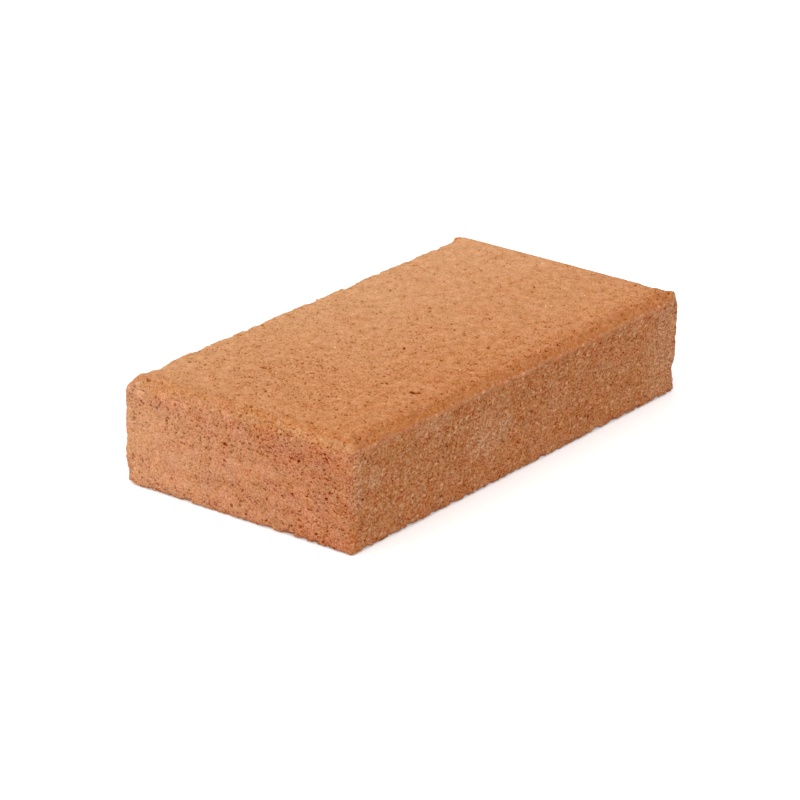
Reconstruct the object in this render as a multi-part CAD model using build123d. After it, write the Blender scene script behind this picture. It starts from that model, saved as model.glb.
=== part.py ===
# Rectangular concrete paver with a bevelled wearing face.
# One solid, pressed in a steel mould: it lies on its bed face with the wearing face up.
# Frame: origin at the middle of the bed face, X along the length, Y across, Z up. Millimetres.

import os
from math import atan2, degrees

from build123d import *

# Work size of the unit
length = 200.0
width = 100.0
thickness = 40.0

# Mould box: the four upright edges take the rounding of its corners
corner_radius = 2.0

# Press shoe: it forms the bevel, and stays clear of the mould wall, which leaves a narrow land
bevel_width = 2.2
bevel_depth = 3.0
shoe_clearance = 0.8

# Bed face: its edge is broken where the fresh unit was pushed off its board
bed_arris = 0.8


def moulded_block(height):
    """The block as the mould walls form it, standing on its broken bed edge."""
    block = extrude(RectangleRounded(length, width, corner_radius), amount=height)
    bed_edges = block.edges().group_by(Axis.Z)[0]
    return chamfer(bed_edges, length=bed_arris)


def pressed_head(foot_height):
    """The head that the press shoe forms on the block: bevels mitred at the corners, and the wearing face."""
    foot = Rectangle(length - 2 * shoe_clearance, width - 2 * shoe_clearance)
    lean = degrees(atan2(bevel_width, bevel_depth))
    head = extrude(Plane.XY.offset(foot_height) * foot, amount=bevel_depth, taper=lean)
    mould_bore = extrude(RectangleRounded(length, width, corner_radius), amount=thickness)
    return head & mould_bore


def paver():
    """The whole unit: the block up to the foot of the bevel, and the head on it."""
    bevel_foot = thickness - bevel_depth
    return moulded_block(bevel_foot) + pressed_head(bevel_foot)


os.makedirs("parts", exist_ok=True)
export_step(paver(), "parts/paver_block.step")
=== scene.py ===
from math import cos, radians, sin

import bmesh
import bpy
import numpy as np
from mathutils import Matrix, Vector


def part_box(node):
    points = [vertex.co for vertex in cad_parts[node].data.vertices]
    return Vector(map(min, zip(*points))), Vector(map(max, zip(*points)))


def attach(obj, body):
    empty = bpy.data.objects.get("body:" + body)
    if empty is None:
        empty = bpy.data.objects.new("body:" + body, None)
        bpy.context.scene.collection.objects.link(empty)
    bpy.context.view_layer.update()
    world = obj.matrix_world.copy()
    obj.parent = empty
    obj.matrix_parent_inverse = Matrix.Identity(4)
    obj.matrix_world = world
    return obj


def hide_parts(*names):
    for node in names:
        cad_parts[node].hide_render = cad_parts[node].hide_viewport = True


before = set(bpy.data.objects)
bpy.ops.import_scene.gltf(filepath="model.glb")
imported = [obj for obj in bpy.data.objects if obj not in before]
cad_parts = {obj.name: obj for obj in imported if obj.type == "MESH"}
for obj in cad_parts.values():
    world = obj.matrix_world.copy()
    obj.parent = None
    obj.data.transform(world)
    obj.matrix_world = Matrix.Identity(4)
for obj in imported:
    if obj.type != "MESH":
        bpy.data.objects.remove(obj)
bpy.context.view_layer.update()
mm = 0.001


def hexToLinear(hexColour):
    channels = [int(hexColour[i:i + 2], 16) / 255 for i in (1, 3, 5)]
    linear = [c / 12.92 if c <= 0.04045 else ((c + 0.055) / 1.055) ** 2.4 for c in channels]
    return (*linear, 1.0)


# An input is a value or the socket that it is linked to. A Map Range node goes from 1 and 2 to 3 and 4.
def addNode(tree, kind, inputs=None, out=0, **settings):
    node = tree.nodes.new(kind)
    for name, value in settings.items():
        setattr(node, name, value)
    for key, value in (inputs or {}).items():
        if isinstance(value, bpy.types.NodeSocket):
            tree.links.new(value, node.inputs[key])
        else:
            node.inputs[key].default_value = value
    return node.outputs[out]


# The block as the mould leaves it, the same sizes as the solid it stands for
block = {
    "node": "paver_block",
    "slot": "pressed_concrete",
    "cornerRadius": 2.0 * mm,
    "land": 0.8 * mm,          # flat left by the press shoe's clearance
    "bevelWidth": 2.2 * mm,
    "bevelDepth": 3.0 * mm,
    "bedArris": 0.8 * mm,
    "wornEdge": 0.5 * mm,      # rounding that handling gives every edge
    "wornHead": 0.9 * mm,      # and more at the rim of the wearing face
    "voxel": 0.5 * mm,         # grid that the relief is carved on
    "triangles": 195000,
    "chipAt": (-94.4 * mm, 47.0 * mm, 40.0 * mm),    # a corner that was knocked off
    "chipFacing": (-0.42, 0.50, 0.75),
}
low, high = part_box(block["node"])
halfLength, halfWidth, height = high.x, high.y, high.z


def selectInEdit(mesh, kind, wanted):
    edit = bmesh.from_edit_mesh(mesh)
    for face in edit.faces:
        face.select_set(False)
    for edge in edit.edges:
        edge.select_set(False)
    for item in getattr(edit, kind):
        if wanted(item):
            item.select_set(True)
    edit.select_flush_mode()
    bmesh.update_edit_mesh(mesh)


def applyModifier(piece, name, kind, **settings):
    modifier = piece.modifiers.new(name, kind)
    for key, value in settings.items():
        setattr(modifier, key, value)
    bpy.ops.object.modifier_apply(modifier=modifier.name)


def mouldBlock():
    bevelFoot = height - block["bevelDepth"]
    bpy.ops.object.select_all(action="DESELECT")
    bpy.ops.mesh.primitive_cube_add(
        size=1, location=(0, 0, bevelFoot / 2), scale=(2 * halfLength, 2 * halfWidth, bevelFoot)
    )
    piece = bpy.context.object
    piece.name = piece.data.name = "pressedPaver"
    bpy.ops.object.transform_apply(location=True, rotation=True, scale=True)

    bpy.ops.object.mode_set(mode="EDIT")
    bpy.ops.mesh.select_mode(type="EDGE")
    selectInEdit(piece.data, "edges", lambda e: abs(e.verts[0].co.z - e.verts[1].co.z) > bevelFoot / 2)
    bpy.ops.mesh.bevel(offset=block["cornerRadius"], segments=4)
    bpy.ops.mesh.select_mode(type="FACE")
    selectInEdit(piece.data, "faces", lambda f: f.normal.z > 0.9)  # the face that looks up
    bpy.ops.mesh.inset(thickness=block["land"])  # the land round the press shoe
    bpy.ops.mesh.extrude_region_move(TRANSFORM_OT_translate={"value": (0, 0, block["bevelDepth"])})
    shoeLength, shoeWidth = halfLength - block["land"], halfWidth - block["land"]
    lean = (1 - block["bevelWidth"] / shoeLength, 1 - block["bevelWidth"] / shoeWidth, 1)
    bpy.ops.transform.resize(value=lean, center_override=(0, 0, height))  # leans the walls in to a bevel
    bpy.ops.mesh.region_to_loop()
    bpy.ops.mesh.bevel(offset=block["wornHead"], segments=3)
    bpy.ops.mesh.select_mode(type="EDGE")
    selectInEdit(piece.data, "edges", lambda e: max(v.co.z for v in e.verts) < block["bedArris"] / 2)
    bpy.ops.mesh.bevel(offset=block["bedArris"], segments=2)
    bpy.ops.mesh.select_all(action="SELECT")
    bpy.ops.mesh.bisect(
        plane_co=block["chipAt"], plane_no=block["chipFacing"], use_fill=True, clear_outer=True
    )
    bpy.ops.object.mode_set(mode="OBJECT")

    applyModifier(piece, "wornEdge", "BEVEL", width=block["wornEdge"], segments=2, angle_limit=radians(25))
    applyModifier(piece, "castGrid", "REMESH", mode="VOXEL", voxel_size=block["voxel"])
    return piece


# Where one face of the cast block gives way to the next. Depths are from the wearing face.
edges = {
    "cornerFade": 1.0 * mm,               # either way of an upright edge
    "bedFade": (0.2 * mm, 1.2 * mm),      # height over which an end begins
    "rimFade": (1.6 * mm, 0.1 * mm),      # depth over which the wearing face ends
    "sideFoot": (2.2 * mm, 2.9 * mm),     # depth over which a bevel turns into a wall
    "endFoot": (1.6 * mm, 5.0 * mm),      # no crisp line on the ends
    "sideSway": (0.9, 1.1),               # how far those depths sway along the block
    "endSway": (0.7, 1.3),
    "swaySize": 5.0,                      # millimetres from one sway to the next
    "arrisReach": 2.4 * mm,               # how far from an edge it crumbles
    "lipBelow": 0.3 * mm,                 # middle of the smeared lip, under the foot of a long bevel
    "lipFade": (1.6 * mm, 0.6 * mm),
}


def perMetre(sizeInMm):
    return 1 / (sizeInMm * mm)


# Which face a point of the cast block belongs to, each as 0 to 1
def faceZones(tree, place):
    axes = addNode(tree, "ShaderNodeSeparateXYZ", {0: place}).node.outputs
    awayX = addNode(tree, "ShaderNodeMath", {0: axes[0]}, operation="ABSOLUTE")
    awayY = addNode(tree, "ShaderNodeMath", {0: axes[1]}, operation="ABSOLUTE")
    fromEnd = addNode(tree, "ShaderNodeMath", {0: halfLength, 1: awayX}, operation="SUBTRACT")
    fromSide = addNode(tree, "ShaderNodeMath", {0: halfWidth, 1: awayY}, operation="SUBTRACT")
    fromTop = addNode(tree, "ShaderNodeMath", {0: height, 1: axes[2]}, operation="SUBTRACT")
    nearer = addNode(tree, "ShaderNodeMath", {0: fromEnd, 1: fromSide}, operation="MINIMUM")

    endLead = addNode(tree, "ShaderNodeMath", {0: fromSide, 1: fromEnd}, operation="SUBTRACT")
    bedLow, bedHigh = edges["bedFade"]
    offBed = addNode(tree, "ShaderNodeMapRange", {0: axes[2], 1: bedLow, 2: bedHigh})
    end = addNode(tree, "ShaderNodeMapRange",
                  {0: endLead, 1: -edges["cornerFade"], 2: edges["cornerFade"], 4: offBed},
                  interpolation_type="SMOOTHSTEP")
    least, most = [addNode(tree, "ShaderNodeMix", {0: end, 2: onSide, 3: onEnd})
                   for onSide, onEnd in zip(edges["sideSway"], edges["endSway"])]
    footTop, footBase = [addNode(tree, "ShaderNodeMix", {0: end, 2: onSide, 3: onEnd})
                         for onSide, onEnd in zip(edges["sideFoot"], edges["endFoot"])]
    sway = addNode(tree, "ShaderNodeTexNoise",
                   {"Vector": place, "Scale": perMetre(edges["swaySize"]), "Detail": 3.0})
    sway = addNode(tree, "ShaderNodeMapRange", {0: sway, 1: 0.3, 2: 0.7, 3: least, 4: most})
    depth = addNode(tree, "ShaderNodeMath", {0: fromTop, 1: sway}, operation="MULTIPLY")
    rimBase, rimTop = edges["rimFade"]
    wearing = addNode(tree, "ShaderNodeMapRange", {0: depth, 1: rimBase, 2: rimTop},
                      interpolation_type="SMOOTHSTEP")
    upright = addNode(tree, "ShaderNodeMapRange", {0: depth, 1: footTop, 2: footBase},
                      interpolation_type="SMOOTHSTEP")

    # the lip under the long bevels, where the shoe smears the paste
    lipDepth = block["bevelDepth"] + edges["lipBelow"]
    lipOutside, lipInside = edges["lipFade"]
    fromLip = addNode(tree, "ShaderNodeMath", {0: depth, 1: lipDepth}, operation="SUBTRACT")
    fromLip = addNode(tree, "ShaderNodeMath", {0: fromLip}, operation="ABSOLUTE")
    onSide = addNode(tree, "ShaderNodeMath", {0: 1.0, 1: end}, operation="SUBTRACT")
    lip = addNode(tree, "ShaderNodeMapRange", {0: fromLip, 1: lipOutside, 2: lipInside, 4: onSide})

    # edges: the upright ones, the bed's, the bevel's foot and the rim of the wearing face
    fromFoot = addNode(tree, "ShaderNodeMath", {0: fromTop, 1: block["bevelDepth"]}, operation="SUBTRACT")
    fromFoot = addNode(tree, "ShaderNodeMath", {0: fromFoot}, operation="ABSOLUTE")
    fromRim = addNode(tree, "ShaderNodeMath", {0: nearer, 1: block["land"] + block["bevelWidth"]},
                      operation="SUBTRACT")
    fromRim = addNode(tree, "ShaderNodeMath", {0: fromRim}, operation="ABSOLUTE")
    fromArris = addNode(tree, "ShaderNodeMath", {0: fromEnd, 1: fromSide}, operation="MAXIMUM")
    for across, along in ((nearer, axes[2]), (nearer, fromFoot), (fromRim, fromTop)):
        away = addNode(tree, "ShaderNodeMath", {0: across, 1: along}, operation="MAXIMUM")
        fromArris = addNode(tree, "ShaderNodeMath", {0: fromArris, 1: away}, operation="MINIMUM")
    arris = addNode(tree, "ShaderNodeMapRange", {0: fromArris, 1: edges["arrisReach"], 2: 0.0},
                    interpolation_type="SMOOTHSTEP")
    return {"wearing": wearing, "end": end, "upright": upright, "lip": lip, "arris": arris,
            "depth": depth, "x": axes[0], "y": axes[1], "z": axes[2]}


# Mixes a value or colour given for each face, in this order in every dictionary below
def byFace(tree, zones, wearing, endBevel, sideBevel, end, side, kind="FLOAT"):
    a, b, out = (2, 3, 0) if kind == "FLOAT" else (6, 7, 2)
    mixing = {"out": out, "data_type": kind}
    bevel = addNode(tree, "ShaderNodeMix", {0: zones["end"], a: sideBevel, b: endBevel}, **mixing)
    wall = addNode(tree, "ShaderNodeMix", {0: zones["end"], a: side, b: end}, **mixing)
    head = addNode(tree, "ShaderNodeMix", {0: zones["wearing"], a: bevel, b: wearing}, **mixing)
    return addNode(tree, "ShaderNodeMix", {0: zones["upright"], a: head, b: wall}, **mixing)


# Marks that this block has of its own, each with its middle and its reach along X, Y and Z in millimetres
spots = {
    "hole": (  # the deepest void, dark to its floor
        ((-47.5, -35.8, 40.0), (1.3, 1.7, 2.0)),
    ),
    "void": (  # more voids, larger than the patterned ones
        ((-62.6, 18.2, 40.0), (1.4, 1.3, 2.0)),
        ((-55.3, 2.1, 40.0), (1.2, 1.1, 2.0)),
        ((-100.0, 4.9, 26.0), (2.0, 1.2, 0.9)),
    ),
    "lime": (  # pale patches on the front and the near end
        ((-98.0, -50.0, 31.0), (5.0, 3.0, 9.0)),
        ((-97.0, -50.0, 21.0), (6.0, 3.0, 8.0)),
        ((-88.0, -50.0, 25.0), (6.0, 3.0, 5.0)),
        ((-54.0, -50.0, 34.0), (15.0, 3.0, 4.5)),
        ((-21.0, -50.0, 20.0), (19.0, 3.0, 11.0)),
        ((19.0, -50.0, 19.5), (4.0, 3.0, 2.5)),
        ((92.0, -50.0, 20.0), (18.0, 3.0, 34.0)),
        ((-100.0, 3.7, 35.8), (3.0, 3.2, 2.4)),
        ((-99.0, 44.0, 37.0), (4.0, 4.0, 3.0)),
    ),
    "burr": (  # corners that the shoe left full
        ((98.6, -48.6, 38.6), (4.5, 4.5, 4.0)),
        ((95.6, 49.5, 39.0), (2.8, 5.0, 5.0)),
    ),
    "dent": (
        ((100.0, -50.0, 8.5), (4.5, 4.5, 5.0)),
        ((99.5, -50.0, 37.0), (3.0, 3.0, 3.0)),
        ((-86.0, 48.0, 39.5), (5.0, 4.0, 3.0)),
        ((-100.0, 50.0, 1.0), (5.0, 5.0, 9.0)),
    ),
    "whole": (  # edges that didn't crumble: the bevel in front, the far rim and three corners
        ((10.0, -49.0, 38.0), (150.0, 4.5, 6.0)),
        ((98.0, 20.0, 39.0), (4.5, 100.0, 6.0)),
        ((-95.5, 47.5, 39.0), (5.0, 5.0, 5.0)),
        ((-100.0, 50.0, 1.0), (6.0, 6.0, 5.0)),
        ((-100.0, -50.0, 1.0), (6.0, 6.0, 5.0)),
    ),
    "rough": (  # more pores and pits
        ((-100.0, 32.0, 31.5), (3.0, 24.0, 4.5)),
        ((-100.0, -12.0, 29.5), (3.0, 26.0, 3.0)),
        ((-66.0, -10.0, 41.6), (40.0, 50.0, 2.5)),  # its middle stands over the face, so it is weaker there
    ),
    "smooth": (  # fewer of them
        ((-100.0, 42.0, 18.0), (3.0, 13.0, 7.0)),
        ((-100.0, -6.0, 19.5), (3.0, 9.0, 4.5)),
        ((-100.0, 28.0, 9.0), (3.0, 14.0, 5.0)),
        ((60.0, 12.0, 40.0), (62.0, 55.0, 2.5)),
    ),
}
spotFade = (1.1, 0.3)  # shares of the reach where a spot begins and where it is full


def inSpots(tree, place, listed):
    inside = 0.0
    for middle, reach in listed:
        perReach = [perMetre(r) for r in reach]
        shift = [-m / r for m, r in zip(middle, reach)]
        away = addNode(tree, "ShaderNodeVectorMath", {0: place, 1: perReach, 2: shift},
                       operation="MULTIPLY_ADD")
        away = addNode(tree, "ShaderNodeVectorMath", {0: away}, out=1, operation="LENGTH")
        spot = addNode(tree, "ShaderNodeMapRange", {0: away, 1: spotFade[0], 2: spotFade[1]},
                       interpolation_type="SMOOTHSTEP")
        inside = addNode(tree, "ShaderNodeMath", {0: inside, 1: spot}, operation="MAXIMUM")
    return inside


# Patterns in the pressed concrete. Sizes, cells, radii and reaches are real ones in millimetres.
# Pores and sand are finer than the render can show, so both are drawn as coarse as they need to be.
pattern = {
    "skew": radians(36), "squash": (0.58, 1.0, 1.1),   # pores run long on a skew across the block
    "warpSize": 0.9, "warpReach": 0.3,              # makes voids and grains uneven in outline
    "wanderSize": 3.0, "wanderReach": 0.8,          # ragged outline of larger spots
    "voidCell": 5.0, "voidRadius": 0.85,            # air voids, none larger than this
    "pitCell": 1.25, "pitRadius": 0.65,             # pits, drawn a little large so that they show
    "speckCell": 1.6, "speckRadius": 1.1,           # pale grains and crumbs of lime
    "floorShare": 0.3,                              # flat floor of a void or pit, as a share of its radius
    "poreSize": 0.9,                                # gaps between sand grains, drawn coarse
    "sandCell": 0.5,                                # sand grains, drawn coarse
    "fleckSize": 0.6,                               # light and dark within the sand, drawn coarse
    "mottleSize": 3.6,                              # patches where grains or paste gathered
    "lumpSize": 9.0,
    "cloudSize": 55.0,
    "hueSize": 7.0,
    "layerLength": 26.0, "layerHeight": 4.0,        # bands that pressing leaves on the upright faces
    "chipSize": 5.0, "crumbSize": 1.5,              # breakage along the edges
    "poreThreshold": (0.63, 0.6, 0.62, 0.615, 0.62),   # by face, the level of noise where a pore opens
    "poreLayering": 0.035,                          # and how far it differs between pressing layers
    "poreRough": -0.035, "poreSmooth": 0.05,        # and in rough and smooth patches
    "poreRamp": (-0.015, 0.075),                    # from closed to fully open
    "pitting": (0.88, 0.7, 0.5, 1.12, 0.8),         # by face, how much of the radius pits have
    "pitClusters": (0.65, 1.3),                     # how that differs from pale mottling to dark
    "pitRough": 0.25, "pitSmooth": -0.2,
}


def castPattern(tree, place, zones):
    laid = addNode(tree, "ShaderNodeVectorRotate", {0: place, "Angle": -pattern["skew"]},
                   rotation_type="Z_AXIS")
    laid = addNode(tree, "ShaderNodeVectorMath", {0: laid, 1: pattern["squash"]}, operation="MULTIPLY")
    flatten = pattern["layerLength"] / pattern["layerHeight"]
    layered = addNode(tree, "ShaderNodeVectorMath", {0: place, 1: (1, 1, flatten)}, operation="MULTIPLY")
    marks = {}
    for name, at, size, detail in (
        ("layer", layered, pattern["layerLength"], 3.0),
        ("cloud", place, pattern["cloudSize"], 3.0),
        ("lump", place, pattern["lumpSize"], 3.0),
        ("mottle", place, pattern["mottleSize"], 4.0),
        ("fleck", laid, pattern["fleckSize"], 1.0),
        ("gap", laid, pattern["poreSize"], 2.0),
    ):
        marks[name] = addNode(tree, "ShaderNodeTexNoise",
                              {"Vector": at, "Scale": perMetre(size), "Detail": detail, "Roughness": 0.6})

    # places shifted by a noise, which strays about a quarter either way of its middle
    shifted = {}
    for name, at in (("warp", laid), ("wander", place)):
        stray = addNode(tree, "ShaderNodeTexNoise",
                        {"Vector": at, "Scale": perMetre(pattern[name + "Size"]), "Detail": 2.0}, out=1)
        stray = addNode(tree, "ShaderNodeVectorMath", {0: stray, 1: (0.5, 0.5, 0.5)}, operation="SUBTRACT")
        reach = pattern[name + "Reach"] * 4 * mm
        shifted[name] = addNode(tree, "ShaderNodeVectorMath", {0: stray, 1: (reach, reach, reach), 2: at},
                                operation="MULTIPLY_ADD")
    marks.update({name: inSpots(tree, shifted["wander"], listed) for name, listed in spots.items()})

    # pores open where the gap noise rises over a threshold, which differs by face, layer and patch
    threshold = byFace(tree, zones, *pattern["poreThreshold"])
    layering = pattern["poreLayering"]
    easing = addNode(tree, "ShaderNodeMapRange",
                     {0: marks["layer"], 1: 0.35, 2: 0.65, 3: layering, 4: -layering})
    threshold = addNode(tree, "ShaderNodeMath", {0: threshold, 1: easing}, operation="ADD")
    # pits are larger where the mottling is dark
    palest, darkest = pattern["pitClusters"]
    clusters = addNode(tree, "ShaderNodeMapRange",
                       {0: marks["mottle"], 1: 0.62, 2: 0.38, 3: palest, 4: darkest})
    for name in ("rough", "smooth"):
        change = pattern["pore" + name.title()]
        threshold = addNode(tree, "ShaderNodeMath", {0: marks[name], 1: change, 2: threshold},
                            operation="MULTIPLY_ADD")
        change = pattern["pit" + name.title()]
        clusters = addNode(tree, "ShaderNodeMath", {0: marks[name], 1: change, 2: clusters},
                           operation="MULTIPLY_ADD")
    opening = addNode(tree, "ShaderNodeMath", {0: marks["gap"], 1: threshold}, operation="SUBTRACT")
    closed, fullyOpen = pattern["poreRamp"]
    marks["pore"] = addNode(tree, "ShaderNodeMapRange", {0: opening, 1: closed, 2: fullyOpen})

    # voids, pits and specks: distance to the nearest centre, against a radius that is mostly small
    pitting = byFace(tree, zones, *pattern["pitting"])
    pitting = addNode(tree, "ShaderNodeMath", {0: clusters, 1: pitting}, operation="MULTIPLY")
    for name, amount in (("void", 1.0), ("pit", pitting), ("speck", 1.0)):
        cell = pattern[name + "Cell"]
        largest = pattern[name + "Radius"] / cell
        away = addNode(tree, "ShaderNodeTexVoronoi", {"Vector": shifted["warp"], "Scale": perMetre(cell)})
        luck = addNode(tree, "ShaderNodeSeparateXYZ", {0: away.node.outputs["Color"]})
        luck = addNode(tree, "ShaderNodeMath", {0: luck, 1: 2.0}, operation="POWER")
        radius = addNode(tree, "ShaderNodeMath", {0: luck, 1: largest}, operation="MULTIPLY")
        radius = addNode(tree, "ShaderNodeMath", {0: radius, 1: amount}, operation="MULTIPLY")
        inner = addNode(tree, "ShaderNodeMath", {0: radius, 1: pattern["floorShare"]}, operation="MULTIPLY")
        dip = addNode(tree, "ShaderNodeMapRange", {0: away, 1: radius, 2: inner},
                      interpolation_type="SMOOTHSTEP")
        marks[name] = addNode(tree, "ShaderNodeMath", {0: marks.get(name, 0.0), 1: dip}, operation="MAXIMUM")

    marks["sand"] = addNode(tree, "ShaderNodeTexVoronoi",
                            {"Vector": shifted["warp"], "Scale": perMetre(pattern["sandCell"])})
    luck = addNode(tree, "ShaderNodeSeparateXYZ", {0: marks["sand"].node.outputs["Color"]}).node.outputs
    marks["grain"], marks["warmth"], marks["glint"] = luck[0], luck[1], luck[2]
    return marks


# How far each kind of relief goes in from the mould's face
relief = {
    "void": 0.7 * mm,
    "pit": 0.4 * mm,
    "pore": 0.32 * mm,
    "sand": (0.05 * mm, 0.05 * mm, 0.05 * mm, 0.10 * mm, 0.22 * mm),   # by face
    "smear": 0.8,              # share of the sand that paste covers on the lip
    "lump": 0.16 * mm,
    "chip": 1.4 * mm,
    "chipNoise": (0.49, 0.66),      # level of noise where an edge begins to chip, and where it is gone
    "crumb": 0.45 * mm,
    "crumbNoise": (0.40, 0.70),
    "bedBreakage": 1.5,        # the bed's edge is knocked more than the others, by this much
    "bedReach": 4.0 * mm,
    "hole": 1.0 * mm,
    "dent": 1.1 * mm,
    "burrLevel": 39.6 * mm,    # how high a full corner stands
}


def carveRelief(piece):
    tree = bpy.data.node_groups.new("castRelief", "GeometryNodeTree")
    tree.interface.new_socket("Geometry", in_out="INPUT", socket_type="NodeSocketGeometry")
    tree.interface.new_socket("Geometry", in_out="OUTPUT", socket_type="NodeSocketGeometry")
    cast = addNode(tree, "NodeGroupInput")
    place = addNode(tree, "GeometryNodeInputPosition")
    normal = addNode(tree, "GeometryNodeInputNormal")
    kept = addNode(tree, "GeometryNodeStoreNamedAttribute",
                   {"Geometry": cast, "Name": "castPlace", "Value": place},
                   data_type="FLOAT_VECTOR", domain="POINT")
    zones = faceZones(tree, place)
    marks = castPattern(tree, place, zones)

    sandDepth = byFace(tree, zones, *relief["sand"])
    bare = addNode(tree, "ShaderNodeMath", {0: zones["lip"], 1: -relief["smear"], 2: 1.0},
                   operation="MULTIPLY_ADD")
    sandDepth = addNode(tree, "ShaderNodeMath", {0: sandDepth, 1: bare}, operation="MULTIPLY")
    dip = addNode(tree, "ShaderNodeMath", {0: marks["sand"], 1: sandDepth}, operation="MULTIPLY")
    for name in ("void", "pit", "pore", "lump", "hole", "dent"):
        dip = addNode(tree, "ShaderNodeMath", {0: marks[name], 1: relief[name], 2: dip},
                      operation="MULTIPLY_ADD")
    crumbling = addNode(tree, "ShaderNodeMapRange", {0: marks["whole"], 3: zones["arris"], 4: 0.0})
    knocked = addNode(tree, "ShaderNodeMapRange",
                      {0: zones["z"], 2: relief["bedReach"], 3: relief["bedBreakage"], 4: 1.0})
    crumbling = addNode(tree, "ShaderNodeMath", {0: crumbling, 1: knocked}, operation="MULTIPLY")
    for name in ("chip", "crumb"):
        begun, gone = relief[name + "Noise"]
        broken = addNode(tree, "ShaderNodeTexNoise",
                         {"Vector": place, "Scale": perMetre(pattern[name + "Size"]), "Detail": 3.0})
        broken = addNode(tree, "ShaderNodeMapRange", {0: broken, 1: begun, 2: gone, 4: relief[name]})
        dip = addNode(tree, "ShaderNodeMath", {0: broken, 1: crumbling, 2: dip}, operation="MULTIPLY_ADD")
    inward = addNode(tree, "ShaderNodeMath", {0: dip, 1: -1.0}, operation="MULTIPLY")
    offset = addNode(tree, "ShaderNodeVectorMath", {0: normal, "Scale": inward}, operation="SCALE")
    moved = addNode(tree, "ShaderNodeVectorMath", {0: place, 1: offset}, operation="ADD")

    # full corners rise to their level
    lack = addNode(tree, "ShaderNodeMath", {0: relief["burrLevel"], 1: zones["z"]}, operation="SUBTRACT")
    lack = addNode(tree, "ShaderNodeMath", {0: lack, 1: 0.0}, operation="MAXIMUM")
    raised = addNode(tree, "ShaderNodeMath", {0: lack, 1: marks["burr"]}, operation="MULTIPLY")
    raised = addNode(tree, "ShaderNodeCombineXYZ", {2: raised})
    moved = addNode(tree, "ShaderNodeVectorMath", {0: moved, 1: raised}, operation="ADD")
    carved = addNode(tree, "GeometryNodeSetPosition", {"Geometry": kept, "Position": moved})
    addNode(tree, "NodeGroupOutput", {0: carved}, out=slice(0))
    applyModifier(piece, "castRelief", "NODES", node_group=tree)


def thinMesh(piece):
    triangles = sum(len(p.vertices) - 2 for p in piece.data.polygons)
    ratio = min(1.0, block["triangles"] / triangles)
    applyModifier(piece, "thinned", "DECIMATE", ratio=ratio, use_collapse_triangulate=True)
    bpy.ops.object.shade_smooth()


# A flat sheet on which the six faces lie apart, for baking. Each face has the axis it looks along and
# which way, the axes that run across and up the sheet, and where the face's middle lies on it.
sheet = {
    "size": 290 * mm,
    "faces": (
        (2, 1, 0, 1, (103 * mm, 53 * mm)),
        (2, -1, 0, 1, (103 * mm, 157 * mm)),
        (1, -1, 2, 0, (208 * mm, 105 * mm)),
        (1, 1, 2, 0, (250 * mm, 105 * mm)),
        (0, -1, 1, 2, (53 * mm, 211 * mm)),
        (0, 1, 1, 2, (157 * mm, 211 * mm)),
    ),
}


def mapFaces(piece):
    mesh = piece.data
    place = np.empty(3 * len(mesh.vertices), np.float32)
    mesh.attributes["castPlace"].data.foreach_get("vector", place)
    corner = np.empty(len(mesh.loops), np.int32)
    mesh.loops.foreach_get("vertex_index", corner)
    corners = place.reshape(-1, 3)[corner].reshape(-1, 3, 3)
    middle = corners.mean(axis=1)
    gaps = [high[axis] - middle[:, axis] if way > 0 else middle[:, axis] - low[axis]
            for axis, way, *_ in sheet["faces"]]
    nearest = np.argmin(gaps, axis=0)
    spread = np.empty((len(corners), 3, 2), np.float32)
    for index, (_, _, across, up, at) in enumerate(sheet["faces"]):
        on = nearest == index
        spread[on, :, 0] = corners[on][:, :, across] + at[0]
        spread[on, :, 1] = corners[on][:, :, up] + at[1]
    flat = mesh.uv_layers.new(name="OFBake")
    flat.data.foreach_set("uv", (spread / sheet["size"]).ravel())


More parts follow.
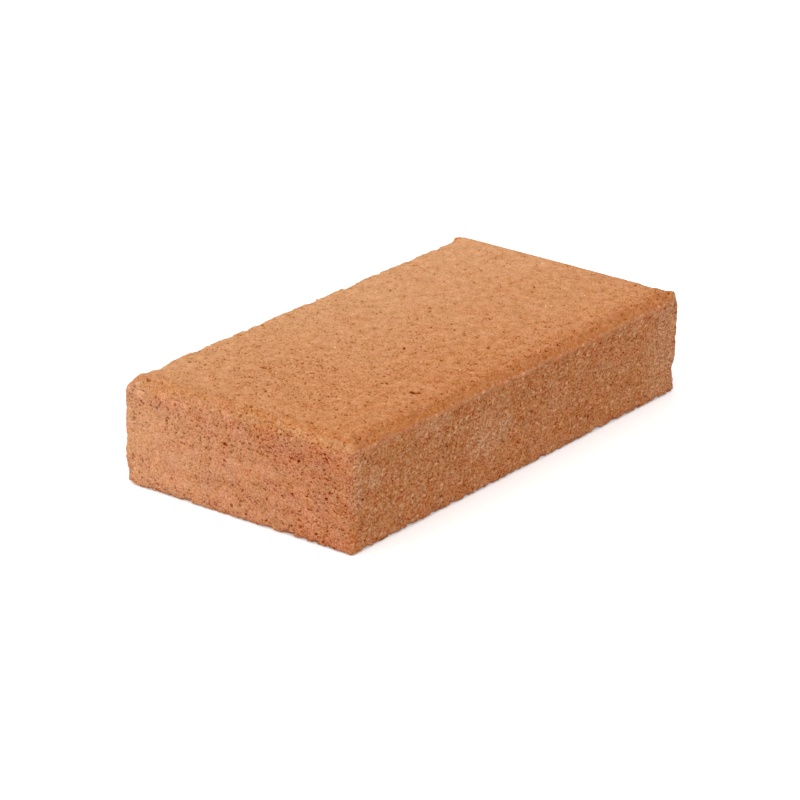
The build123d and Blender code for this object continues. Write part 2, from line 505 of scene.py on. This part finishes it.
# Pressed concrete: pigmented cement and fine sand, struck dry in a steel mould. The pressed face is
# a smooth pale skin with pores, the drawn sides are sandy and darker, and all of it is dead matt.
concrete = {
    "wearing": "#C88049",
    "wearingPale": "#D69967",
    "rim": "#BC7038",
    "end": "#C87B4E",
    "endPale": "#E2A073",
    "side": "#D7874F",
    "sideLitNearFloor": "#DC884D",
    "sideBevel": "#D08044",
    "endBevel": "#C68655",
    "bloom": "#EEB992",       # lime that came out of the cement
    "rust": "#C4713A",        # paste richer in pigment
    "golden": "#DC9848",
    "quartz": "#E6C6A2",
    "speck": "#F8C698",
    "tone": "#F0CDA8",        # what a lighter grain has more of, and a darker one less
    "sideTone": "#F0D8A8",
    "hollowDarkAndShade": "#FFCB92",      # what a pore or void has less of, for its darker paste and painted shade
    "holeFloorDarkAndShade": "#6E3204",        # floor of the hole: darker paste and painted shade
    "paintedLightAlong": 0.3,        # painted light: how much of the paling goes along the block, against across it
    "cloudDrift": (0.35, 0.65),
    "frontRim": (-40.0 * mm, -47.0 * mm, 0.8),    # where the rim's colour begins and is full, and how full
    "endRim": (-90.0 * mm, -96.5 * mm, 0.4),
    "layerPale": (0.45, 0.85),                    # paleness of the pressing layers on the ends
    "upperBand": (13.0 * mm, 6.0 * mm),           # depths between which the ends turn darker
    "bandDark": -0.15,                            # and by how much, rough patches too
    "floorLiftShare": 0.6,                               # share of the height below which the sides begin to be painted lighter, against the shade near the floor
    "rustAmount": (0.3, 0.3, 0.3, 0.2, 0.15),     # by face, as all rows of five are
    "limeAmount": (0.14, 0.28, 0.28, 0.35, 0.48),
    "limePatch": (0.1, 0.4),                      # least and most of it outside the placed patches
    "limeLip": (0.55, 1.0),                       # and on the lip
    "limeFilm": 0.4,                              # share of it that lies between the grains too
    "grainVariety": (0.08, 0.1, 0.1, 0.06, 0.08),
    "speckAmount": (0.05, 0.15, 0.15, 0.1, 0.75),
    "mottleTone": (0.46, 0.3, 0.25, 0.22, 0.2),
    "grainTone": (0.15, 0.2, 0.18, 0.26, 0.44),
    "fleckTone": (0.33, 0.36, 0.28, 0.45, 0.55),
    # how dark the pits, pores and voids are: darker paste and painted shade in them
    "pitTone": (-0.2, -0.2, -0.2, -0.24, -0.26),
    "poreTone": (-0.22, -0.24, -0.2, -0.25, -0.2),
    "voidTone": -0.26,
    "smear": 0.7,                                 # how much of the pores and grains paste hides on the lip
    "lipShade": (-0.11, -0.05),                   # painted shade: the land, which faces up into the light, is darker, and the wall under it less so
    "shadeEnds": 0.5 * mm,                        # from here down, measured from the foot of the bevel
    "hueSway": (0.24, 0.0, 0.08),                 # how far red and blue differ between patches
    "hueAmount": (0.4, 0.7, 0.7, 1.0, 1.0),
    "bumpHeight": 0.2 * mm,
    "bumpAmount": (0.35, 0.45, 0.45, 0.6, 0.8),
    "roughness": 0.92,
    "ior": 1.5,
    "sheen": 0.5,                                 # on the surface, none down in the hollows
    "sheenGone": -0.2,                            # tone of a hollow that has none
}


def pressedConcrete():
    material = bpy.data.materials.new("pressedPigmentedConcrete")
    material.use_nodes = True
    tree = material.node_tree
    tree.nodes.clear()
    colour = {name: hexToLinear(value) for name, value in concrete.items() if str(value).startswith("#")}
    place = addNode(tree, "ShaderNodeAttribute", attribute_name="castPlace", out=1)
    zones = faceZones(tree, place)
    marks = castPattern(tree, place, zones)

    # painted light: the faces grow paler towards the back and a little towards the far end, as if lit more
    # there, with the concrete's own paler clouds over it
    paintedLightSlope = (concrete["paintedLightAlong"] / (2 * halfLength), 1 / (2 * halfWidth), 0)
    paintedBackLight = addNode(tree, "ShaderNodeVectorMath", {0: place, 1: paintedLightSlope}, out=1, operation="DOT_PRODUCT")
    least, most = concrete["cloudDrift"]
    cloudy = addNode(tree, "ShaderNodeMapRange", {0: marks["cloud"], 1: 0.3, 2: 0.7, 3: least, 4: most})
    paleness = addNode(tree, "ShaderNodeMath", {0: paintedBackLight, 1: cloudy}, operation="ADD", use_clamp=True)
    wearing = addNode(tree, "ShaderNodeMix", {0: paleness, 6: colour["wearing"], 7: colour["wearingPale"]},
                      out=2, data_type="RGBA")
    rim = 0.0
    for name, axis in (("frontRim", "y"), ("endRim", "x")):
        begun, full, amount = concrete[name]
        edge = addNode(tree, "ShaderNodeMapRange", {0: zones[axis], 1: begun, 2: full, 4: amount})
        rim = addNode(tree, "ShaderNodeMath", {0: rim, 1: edge}, operation="MAXIMUM")
    wearing = addNode(tree, "ShaderNodeMix", {0: rim, 6: wearing, 7: colour["rim"]},
                      out=2, data_type="RGBA")

    # the ends show the pressing layers, and are darker near the top
    begun, full = concrete["upperBand"]
    upperBand = addNode(tree, "ShaderNodeMapRange", {0: zones["depth"], 1: begun, 2: full, 4: zones["end"]})
    least, most = concrete["layerPale"]
    banding = addNode(tree, "ShaderNodeMapRange", {0: marks["layer"], 1: 0.7, 2: 0.3, 3: least, 4: most})
    for darker in (upperBand, marks["rough"]):
        banding = addNode(tree, "ShaderNodeMath", {0: darker, 1: concrete["bandDark"], 2: banding},
                          operation="MULTIPLY_ADD")
    # painted light: the ends too grow paler towards the back
    banding = addNode(tree, "ShaderNodeMath", {0: paintedBackLight, 1: banding}, operation="ADD", use_clamp=True)
    end = addNode(tree, "ShaderNodeMix", {0: banding, 6: colour["end"], 7: colour["endPale"]},
                  out=2, data_type="RGBA")
    # painted light: the sides turn a little lighter towards the floor, which lifts the shade there
    nearFloorLift = addNode(tree, "ShaderNodeMapRange", {0: zones["z"], 1: concrete["floorLiftShare"] * height, 2: 0.0})
    side = addNode(tree, "ShaderNodeMix", {0: nearFloorLift, 6: colour["side"], 7: colour["sideLitNearFloor"]},
                   out=2, data_type="RGBA")
    paste = byFace(tree, zones, wearing, colour["endBevel"], colour["sideBevel"], end, side, kind="RGBA")

    # lime lies in patches and along the lip, as a thin film and on some of the grains
    least, most = concrete["limePatch"]
    patch = addNode(tree, "ShaderNodeMapRange", {0: marks["lump"], 1: 0.48, 2: 0.66, 3: least, 4: most})
    least, most = concrete["limeLip"]
    limyLip = addNode(tree, "ShaderNodeMapRange", {0: marks["lump"], 1: 0.35, 2: 0.65, 3: least, 4: most})
    limyLip = addNode(tree, "ShaderNodeMath", {0: limyLip, 1: zones["lip"]}, operation="MULTIPLY")
    for more in (limyLip, marks["lime"]):
        patch = addNode(tree, "ShaderNodeMath", {0: patch, 1: more}, operation="MAXIMUM")
    lime = byFace(tree, zones, *concrete["limeAmount"])
    lime = addNode(tree, "ShaderNodeMath", {0: lime, 1: patch}, operation="MULTIPLY")
    film = addNode(tree, "ShaderNodeMath", {0: lime, 1: concrete["limeFilm"]}, operation="MULTIPLY")
    bloom = addNode(tree, "ShaderNodeMapRange", {0: marks["grain"], 1: 0.5, 2: 0.95, 4: lime})

    # patches of richer paste, grains of other colours, pale specks and a rare glint of quartz
    richness = byFace(tree, zones, *concrete["rustAmount"])
    rust = addNode(tree, "ShaderNodeMapRange", {0: marks["lump"], 1: 0.45, 2: 0.3, 4: richness})
    variety = byFace(tree, zones, *concrete["grainVariety"])
    golden = addNode(tree, "ShaderNodeMapRange", {0: marks["warmth"], 1: 0.6, 2: 1.0, 4: variety})
    reddish = addNode(tree, "ShaderNodeMapRange", {0: marks["warmth"], 1: 0.4, 2: 0.0, 4: variety})
    glint = addNode(tree, "ShaderNodeMapRange", {0: marks["glint"], 1: 0.9994, 2: 0.9998})
    speckle = byFace(tree, zones, *concrete["speckAmount"])
    speckle = addNode(tree, "ShaderNodeMath", {0: marks["speck"], 1: speckle}, operation="MULTIPLY")
    for mask, name in (
        (rust, "rust"), (golden, "golden"), (reddish, "rust"),
        (film, "bloom"), (bloom, "bloom"), (speckle, "speck"), (glint, "quartz"),
    ):
        paste = addNode(tree, "ShaderNodeMix", {0: mask, 6: paste, 7: colour[name]}, out=2, data_type="RGBA")

    # dark hollows, darker paste with painted shade, and grains lighter and darker than the paste, both weaker
    # on the lip
    hollowDarkAndShade = 0.0
    for name, full, dark in (
        ("hole", 0.5, concrete["voidTone"]),  # dark from its wall down, darker paste and painted shade
        ("void", 0.5, concrete["voidTone"]),
        ("pit", 0.5, byFace(tree, zones, *concrete["pitTone"])),
        ("pore", 1.0, byFace(tree, zones, *concrete["poreTone"])),
    ):
        dark = addNode(tree, "ShaderNodeMapRange", {0: marks[name], 2: full, 4: dark})
        hollowDarkAndShade = addNode(tree, "ShaderNodeMath", {0: hollowDarkAndShade, 1: dark}, operation="MINIMUM")
    tone = 0.0
    for name in ("mottle", "grain", "fleck"):
        strength = byFace(tree, zones, *concrete[name + "Tone"])
        level = addNode(tree, "ShaderNodeMath", {0: marks[name], 1: 0.5}, operation="SUBTRACT")
        tone = addNode(tree, "ShaderNodeMath", {0: level, 1: strength, 2: tone}, operation="MULTIPLY_ADD")
    bare = addNode(tree, "ShaderNodeMath", {0: zones["lip"], 1: -concrete["smear"], 2: 1.0},
                   operation="MULTIPLY_ADD")
    hollowDarkAndShade = addNode(tree, "ShaderNodeMath", {0: hollowDarkAndShade, 1: bare}, operation="MULTIPLY")
    tone = addNode(tree, "ShaderNodeMath", {0: tone, 1: bare}, operation="MULTIPLY")
    # painted shade along the lip, most on the land that faces up
    onLand, onWall = concrete["lipShade"]
    wallDepth = block["bevelDepth"] + concrete["shadeEnds"]
    shade = addNode(tree, "ShaderNodeMapRange",
                    {0: zones["depth"], 1: block["bevelDepth"], 2: wallDepth, 3: onLand, 4: onWall})
    tone = addNode(tree, "ShaderNodeMath", {0: zones["lip"], 1: shade, 2: tone}, operation="MULTIPLY_ADD")
    lighter = byFace(tree, zones, *[colour["tone"]] * 4, colour["sideTone"], kind="RGBA")
    for tint, amount in ((lighter, tone), (colour["hollowDarkAndShade"][:3], hollowDarkAndShade)):
        tint = addNode(tree, "ShaderNodeVectorMath", {0: tint, "Scale": amount}, operation="SCALE")
        paste = addNode(tree, "ShaderNodeVectorMath", {0: paste, 1: tint}, operation="ADD")

    # red and blue sway a little from patch to patch
    hue = addNode(tree, "ShaderNodeTexNoise",
                  {"Vector": place, "Scale": perMetre(pattern["hueSize"]), "Detail": 3.0, "Roughness": 0.75},
                  out=1)
    hue = addNode(tree, "ShaderNodeVectorMath", {0: hue, 1: (0.5, 0.5, 0.5)}, operation="SUBTRACT")
    hueAmount = byFace(tree, zones, *concrete["hueAmount"])
    hue = addNode(tree, "ShaderNodeVectorMath", {0: hue, "Scale": hueAmount}, operation="SCALE")
    paste = addNode(tree, "ShaderNodeVectorMath", {0: hue, 1: concrete["hueSway"], 2: paste},
                    operation="MULTIPLY_ADD")
    # the hole's floor: darker paste and painted shade
    hole = addNode(tree, "ShaderNodeMapRange", {0: marks["hole"], 2: 0.5})
    paste = addNode(tree, "ShaderNodeMix", {0: hole, 6: paste, 7: colour["holeFloorDarkAndShade"]}, out=2, data_type="RGBA")

    fine = addNode(tree, "ShaderNodeMath", {0: marks["fleck"], 1: marks["sand"]}, operation="SUBTRACT")
    fine = addNode(tree, "ShaderNodeMath", {0: fine, 1: marks["pore"]}, operation="SUBTRACT")
    bumpAmount = byFace(tree, zones, *concrete["bumpAmount"])
    bump = addNode(tree, "ShaderNodeBump",
                   {"Height": fine, "Distance": concrete["bumpHeight"], "Strength": bumpAmount})
    sheen = addNode(tree, "ShaderNodeMapRange",
                    {0: hollowDarkAndShade, 1: 0.0, 2: concrete["sheenGone"], 3: concrete["sheen"], 4: 0.0})
    shader = addNode(tree, "ShaderNodeBsdfPrincipled",
                     {"Base Color": paste, "Roughness": concrete["roughness"], "IOR": concrete["ior"],
                      "Specular IOR Level": sheen, "Normal": bump})
    addNode(tree, "ShaderNodeOutputMaterial", {"Surface": shader}, out=slice(0))
    return material


piece = mouldBlock()
print("block moulded:", len(piece.data.polygons), "faces")
carveRelief(piece)
print("relief carved")
thinMesh(piece)
print("mesh thinned:", len(piece.data.polygons), "triangles")
mapFaces(piece)
print("faces mapped")
piece.data.materials.clear()
piece.data.materials.append(pressedConcrete())
print("concrete mixed")
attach(piece, "root")
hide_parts(block["node"])

# Studio: a sky brighter behind on the left than in front on the right, a weak soft key and a pale floor
studio = {
    "brightSide": (-0.65, 0.55, 0.52),
    "skyBright": 1.25,
    "skyDim": 0.05,
    "keyTowards": (-0.55, -0.25, 0.8),
    "keyStrength": 0.7,
    "keySoftness": radians(50),
    "floorSize": 6.0,
    "floorBounce": "#C4C1BC",
    "floorGlow": 0.28,         # lifts the floor that the camera sees to white, shadow apart
}


def rayIsSeen(tree):
    rays = addNode(tree, "ShaderNodeLightPath").node.outputs
    seen = rays["Is Camera Ray"]
    for other in ("Is Glossy Ray", "Is Transmission Ray"):
        seen = addNode(tree, "ShaderNodeMath", {0: seen, 1: rays[other]}, operation="MAXIMUM")
    return seen


def lightStudio():
    sun = bpy.data.lights.new("softKey", "SUN")
    sun.energy, sun.angle = studio["keyStrength"], studio["keySoftness"]
    key = bpy.data.objects.new("softKey", sun)
    key.rotation_euler = Vector(studio["keyTowards"]).to_track_quat("Z", "Y").to_euler()
    bpy.context.scene.collection.objects.link(key)

    world = bpy.data.worlds.new("paleStudio")
    bpy.context.scene.world = world
    world.use_nodes = True
    tree = world.node_tree
    tree.nodes.clear()
    towards = addNode(tree, "ShaderNodeTexCoord", out="Generated")
    brightSide = Vector(studio["brightSide"]).normalized()
    facing = addNode(tree, "ShaderNodeVectorMath", {0: towards, 1: brightSide}, out=1,
                     operation="DOT_PRODUCT")
    level = addNode(tree, "ShaderNodeMapRange",
                    {0: facing, 1: -1.0, 3: studio["skyDim"], 4: studio["skyBright"]})
    strength = addNode(tree, "ShaderNodeMix", {0: rayIsSeen(tree), 2: level, 3: 1.0})
    sky = addNode(tree, "ShaderNodeBackground", {"Color": (1, 1, 1, 1), "Strength": strength})
    addNode(tree, "ShaderNodeOutputWorld", {"Surface": sky}, out=slice(0))


# Painted board: a flat white coat, dead matt, that shows as plain white but for the shadow
def layFloor():
    bpy.ops.object.select_all(action="DESELECT")
    bpy.ops.mesh.primitive_plane_add(size=studio["floorSize"])
    floor = bpy.context.object
    floor.name = "paleFloor"
    material = bpy.data.materials.new("matPaintedBoard")
    material.use_nodes = True
    tree = material.node_tree
    tree.nodes.clear()
    seen = rayIsSeen(tree)
    colour = addNode(tree, "ShaderNodeMix", {0: seen, 6: hexToLinear(studio["floorBounce"]), 7: (1, 1, 1, 1)},
                     out=2, data_type="RGBA")
    board = addNode(tree, "ShaderNodeBsdfDiffuse", {"Color": colour})
    glow = addNode(tree, "ShaderNodeMath", {0: seen, 1: studio["floorGlow"]}, operation="MULTIPLY")
    glow = addNode(tree, "ShaderNodeEmission", {"Strength": glow})
    surface = addNode(tree, "ShaderNodeAddShader", {0: board, 1: glow})
    addNode(tree, "ShaderNodeOutputMaterial", {"Surface": surface}, out=slice(0))
    floor.data.materials.append(material)


# Camera: where the photograph was taken from, seen from the middle of the bed face
view = {
    "turn": radians(35.869),     # round from the short end towards the long side
    "rise": radians(21.508),
    "roll": radians(1.692),
    "distance": 1.32240,
    "aimRight": -3.327 * mm,
    "aimUp": 12.589 * mm,
    "sensor": 36.0,
    "lens": 165.04,
    "clip": (0.05, 20.0),
}


def placeCamera():
    outward = cos(view["rise"])
    back = Vector((-cos(view["turn"]) * outward, -sin(view["turn"]) * outward, sin(view["rise"])))
    level = Vector((0, 0, 1)).cross(back).normalized()
    upright = back.cross(level)
    right = cos(view["roll"]) * level + sin(view["roll"]) * upright
    up = back.cross(right)
    data = bpy.data.cameras.new("photoCamera")
    data.sensor_width, data.lens = view["sensor"], view["lens"]
    data.clip_start, data.clip_end = view["clip"]
    camera = bpy.data.objects.new("photoCamera", data)
    camera.rotation_euler = Matrix((right, up, back)).transposed().to_euler()
    camera.location = view["distance"] * back + view["aimRight"] * right + view["aimUp"] * up
    bpy.context.scene.collection.objects.link(camera)
    bpy.context.scene.camera = camera


lightStudio()
layFloor()
placeCamera()
bpy.context.scene.view_settings.view_transform = "Standard"
print("studio lit and camera placed")
